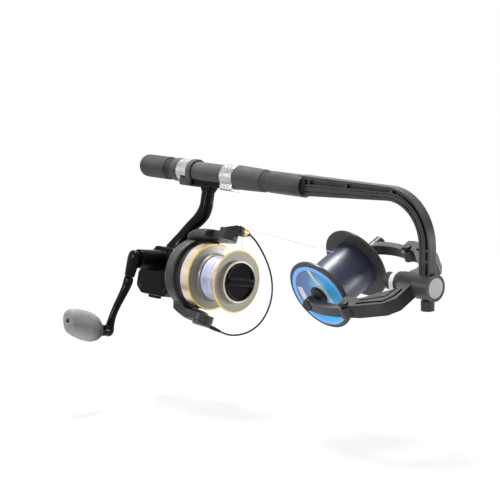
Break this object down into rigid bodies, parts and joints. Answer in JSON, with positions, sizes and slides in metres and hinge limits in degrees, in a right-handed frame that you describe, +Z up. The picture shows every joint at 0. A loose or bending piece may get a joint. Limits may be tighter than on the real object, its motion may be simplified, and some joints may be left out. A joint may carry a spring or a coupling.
{
  "type": "fishing line winder",
  "caption": "Hand-held line winder: grip with a reel seat, arched arm and swivelling fork that holds a filler spool, with a spinning reel clamped on and its line led over the roller.",
  "frame": {"origin": "on the handle's axis inside the foam butt grip, 11.2 mm from its rounded end", "axes": "+X along the handle from the butt to the winder arm, +Z up away from the reel, +Y to the left of someone looking along +X"},
  "size_m": [0.3589, 0.1798, 0.1544],
  "materials": {
    "winder_black": "moulded, satin",
    "foam": "closed-cell foam, matt",
    "band_silver": "brushed",
    "hub_grey": "moulded, satin",
    "white_nylon": "plain",
    "dark_rubber": "matt",
    "bright_steel": "turned",
    "dark_steel": "blackened",
    "spool_black": "moulded, gloss",
    "label_blue": "printed film, plain",
    "filler_line": "clear nylon monofilament",
    "reel_line": "clear nylon monofilament",
    "reel_black": "lacquered, gloss",
    "reel_champagne": "metallic lacquer",
    "spool_taupe": "metallic lacquer",
    "bail_black": "black lacquer",
    "roller_gold": "polished",
    "knob_rubber": "matt",
    "gear_brass": "cut",
    "slider_plastic": "plain"
  },
  "bodies": {
    "winder": {"handle_tube": "winder_black", "butt_grip": "foam", "grip_ring": "foam", "seat_tube": "winder_black", "rear_hood_band": "band_silver", "rear_hood": "winder_black", "winder_arm": "winder_black", "hub_cap": "band_silver", "swivel_bolt": "hub_grey", "reel_housing": "reel_black", "side_cover": "reel_black", "cover_screws": "dark_steel", "free_line": "reel_line"},
    "front_hood": {"front_hood_band": "band_silver"},
    "foregrip": {"foregrip": "winder_black"},
    "crank": {"crank_shaft": "bright_steel", "drive_gear": "gear_brass", "crank_root": "reel_black"},
    "crank_arm": {"crank_arm": "reel_black", "fold_pin": "bright_steel", "knob_spindle": "bright_steel"},
    "crank_knob": {"crank_knob": "knob_rubber"},
    "rotor": {"rotor": "reel_black", "pinion": "gear_brass", "rotor_nut": "gear_brass"},
    "bail": {"bail_wire": "bail_black", "upper_bail_arm": "reel_black", "lower_bail_arm": "reel_black", "bail_pivots": "dark_steel"},
    "line_roller": {"line_roller": "roller_gold"},
    "spool_shaft": {"main_shaft": "bright_steel", "slider_block": "slider_plastic"},
    "reel_spool": {"reel_spool": "spool_taupe", "spool_skirt": "reel_champagne", "rear_spool_rim": "spool_taupe", "front_spool_rim": "spool_taupe", "nose_ring": "reel_champagne", "reel_line_core": "reel_line", "reel_line_turns": "reel_line"},
    "drag_knob": {"drag_knob": "reel_black"},
    "anti_reverse": {"anti_reverse_lever": "reel_black"},
    "fork": {"fork": "hub_grey", "friction_ring": "dark_rubber", "nylon_washer": "white_nylon", "front_pivot_screw": "dark_steel", "rear_pivot_screw": "dark_steel"},
    "front_arm": {"front_arm": "winder_black", "front_spindle": "bright_steel"},
    "rear_arm": {"rear_arm": "winder_black", "plunger_spring": "bright_steel"},
    "rear_plunger": {"rear_plunger": "bright_steel"},
    "front_cone": {"front_cone": "winder_black"},
    "rear_cone": {"rear_cone": "winder_black"},
    "filler": {"filler_spool": "spool_black", "filler_label": "label_blue", "filler_line_core": "filler_line", "filler_line_turns": "filler_line"},
    "tension_knob": {"tension_knob": "winder_black"},
    "thumb_screw": {"thumb_screw": "dark_steel"}
  },
  "joints": [
    {"name": "hood_slide", "type": "slide", "parent": "winder", "child": "front_hood", "axis": [1, 0, 0], "range_m": [0, 0.0065]},
    {"name": "foregrip_turn", "type": "hinge", "parent": "front_hood", "child": "foregrip", "pos_m": [0.12, 0, 0], "axis": [1, 0, 0], "range_deg": [0, 936]},
    {"name": "crank_spin", "type": "hinge", "parent": "winder", "child": "crank", "pos_m": [0.045, -0.01736, -0.08168], "axis": [0, 0.9781, -0.2079], "continuous": true},
    {"name": "crank_fold", "type": "hinge", "parent": "crank", "child": "crank_arm", "pos_m": [0.0417, -0.06577, -0.09155], "axis": [0.9863, -0.0343, -0.1614], "range_deg": [0, 45]},
    {"name": "knob_spin", "type": "hinge", "parent": "crank_arm", "child": "crank_knob", "pos_m": [0.03378, -0.11347, -0.12981], "axis": [0, 0.9781, -0.2079], "continuous": true},
    {"name": "rotor_spin", "type": "hinge", "parent": "winder", "child": "rotor", "pos_m": [0, -0.01871, -0.08803], "axis": [1, 0, 0], "continuous": true, "deforming": ["free_line"]},
    {"name": "bail_flip", "type": "hinge", "parent": "rotor", "child": "bail", "pos_m": [0.105, -0.01871, -0.08803], "axis": [0, 0.4067, 0.9135], "range_deg": [-110, 0]},
    {"name": "roller_spin", "type": "hinge", "parent": "bail", "child": "line_roller", "pos_m": [0.11336, 0.00828, -0.05025], "axis": [0, 0.9135, -0.4067], "continuous": true},
    {"name": "spool_slide", "type": "slide", "parent": "winder", "child": "spool_shaft", "axis": [1, 0, 0], "range_m": [-0.006, 0.006]},
    {"name": "spool_drag", "type": "hinge", "parent": "spool_shaft", "child": "reel_spool", "pos_m": [0, -0.01871, -0.08803], "axis": [1, 0, 0], "continuous": true},
    {"name": "drag_turn", "type": "hinge", "parent": "spool_shaft", "child": "drag_knob", "pos_m": [0, -0.01871, -0.08803], "axis": [1, 0, 0], "range_deg": [0, 720]},
    {"name": "reverse_lever_turn", "type": "hinge", "parent": "winder", "child": "anti_reverse", "pos_m": [0.032, -0.02391, -0.11249], "axis": [0, 0.2079, 0.9781], "range_deg": [-25, 25]},
    {"name": "fork_swivel", "type": "hinge", "parent": "winder", "child": "fork", "pos_m": [0.3, 0, -0.068], "axis": [1, 0, 0], "continuous": true},
    {"name": "front_arm_pivot", "type": "hinge", "parent": "fork", "child": "front_arm", "pos_m": [0.289, -0.04138, -0.08809], "axis": [0, -0.4368, 0.8996], "range_deg": [0, 8]},
    {"name": "rear_arm_pivot", "type": "hinge", "parent": "fork", "child": "rear_arm", "pos_m": [0.289, 0.03328, -0.05184], "axis": [0, -0.4368, 0.8996], "range_deg": [-8, 0]},
    {"name": "plunger_slide", "type": "slide", "parent": "rear_arm", "child": "rear_plunger", "axis": [0, 0.8996, 0.4368], "range_m": [0, 0.008], "stiffness_N_per_m": 300, "springref_m": -0.004, "deforming": ["plunger_spring"]},
    {"name": "filler_spin", "type": "hinge", "parent": "fork", "child": "filler", "pos_m": [0.2473, 0, -0.068], "axis": [0, 0.8996, 0.4368], "continuous": true},
    {"name": "front_cone_spin", "type": "hinge", "parent": "front_arm", "child": "front_cone", "pos_m": [0.2473, 0, -0.068], "axis": [0, 0.8996, 0.4368], "continuous": true},
    {"name": "rear_cone_spin", "type": "hinge", "parent": "rear_plunger", "child": "rear_cone", "pos_m": [0.2473, 0, -0.068], "axis": [0, 0.8996, 0.4368], "continuous": true},
    {"name": "tension_turn", "type": "hinge", "parent": "winder", "child": "tension_knob", "pos_m": [0.3, 0, -0.068], "axis": [1, 0, 0], "range_deg": [0, 360]},
    {"name": "thumb_turn", "type": "hinge", "parent": "winder", "child": "thumb_screw", "pos_m": [0.3391, 0, -0.068], "axis": [0, 0, 1], "range_deg": [0, 720]}
  ],
  "couplings": [
    {"joint": "hood_slide", "follows": "foregrip_turn", "m_per_rad": 0.00039789},
    {"joint": "rotor_spin", "follows": "crank_spin", "ratio": 5},
    {"joint": "front_cone_spin", "follows": "filler_spin", "ratio": 1},
    {"joint": "rear_cone_spin", "follows": "filler_spin", "ratio": 1}
  ]
}
